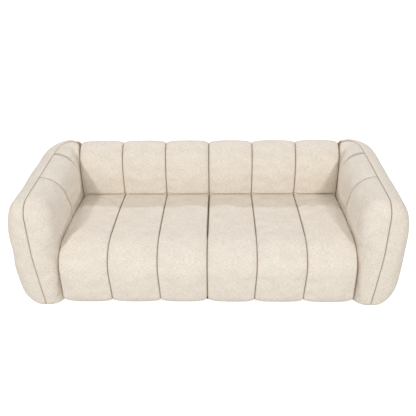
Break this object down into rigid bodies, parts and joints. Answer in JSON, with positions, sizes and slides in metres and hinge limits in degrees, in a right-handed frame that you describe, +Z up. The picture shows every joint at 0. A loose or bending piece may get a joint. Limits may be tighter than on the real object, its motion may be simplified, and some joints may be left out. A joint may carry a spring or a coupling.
{
  "type": "tuxedo sofa",
  "caption": "Low fabric sofa with channel-tufted seat and back, rounded arms as high as the back that turn the corners, plain sewn seams and feet set back out of sight.",
  "frame": {"origin": "on the floor under the middle of the sofa's bounding box", "axes": "+X to the right seen from the front, +Y to the back (the sofa faces -Y), +Z up"},
  "size_m": [2.35, 1.0147, 0.7277],
  "materials": {
    "channel_cloth": "cream slub weave, matt",
    "black_cloth": "thin non-woven dust cloth, matt",
    "elastic_webbing": "woven elastic webbing",
    "seat_foam": "open-cell cushion foam, matt",
    "frame_timber": "planed softwood, unfinished",
    "hardboard": "smooth hardboard",
    "zinc_steel": "bright zinc-plated steel",
    "black_plastic": "fine-grained moulded plastic"
  },
  "bodies": {
    "root": {"seat_cover_left": "channel_cloth", "seat_cover_right": "channel_cloth", "back_cover_left": "channel_cloth", "back_cover_right": "channel_cloth", "corner_cover_left": "channel_cloth", "corner_cover_right": "channel_cloth", "arm_inner_cover_left": "channel_cloth", "arm_inner_cover_right": "channel_cloth", "arm_outer_cover_left": "channel_cloth", "arm_outer_cover_right": "channel_cloth", "back_outer_cover": "channel_cloth", "dust_cover": "black_cloth", "seat_foam_left": "seat_foam", "seat_foam_right": "seat_foam", "back_foam_left": "seat_foam", "back_foam_right": "seat_foam", "arm_foam_left": "seat_foam", "arm_foam_right": "seat_foam", "seat_springs_left": "zinc_steel", "seat_springs_right": "zinc_steel", "spring_clips": "zinc_steel", "back_webbing": "elastic_webbing", "base_front_rail": "frame_timber", "base_end_rail_left": "frame_timber", "base_end_rail_right": "frame_timber", "base_centre_rail": "frame_timber", "spring_rail_left": "frame_timber", "spring_rail_right": "frame_timber", "corner_blocks": "frame_timber", "back_post_left": "frame_timber", "back_post_centre": "frame_timber", "back_post_right": "frame_timber", "back_top_rail": "frame_timber", "back_lower_rail": "frame_timber", "back_board": "hardboard", "arm_front_post_left": "frame_timber", "arm_front_post_right": "frame_timber", "arm_rear_post_left": "frame_timber", "arm_rear_post_right": "frame_timber", "arm_top_rail_left": "frame_timber", "arm_top_rail_right": "frame_timber", "arm_bottom_rail_left": "frame_timber", "arm_bottom_rail_right": "frame_timber", "arm_spacer_left": "frame_timber", "arm_spacer_right": "frame_timber", "arm_inner_panel_left": "hardboard", "arm_inner_panel_right": "hardboard", "arm_outer_panel_left": "hardboard", "arm_outer_panel_right": "hardboard", "foot_front_left": "black_plastic", "foot_front_middle": "black_plastic", "foot_front_right": "black_plastic", "foot_rear_left": "black_plastic", "foot_rear_middle": "black_plastic", "foot_rear_right": "black_plastic", "foot_bolts": "zinc_steel", "arm_bolts": "zinc_steel", "back_bolts": "zinc_steel"}
  },
  "joints": []
}
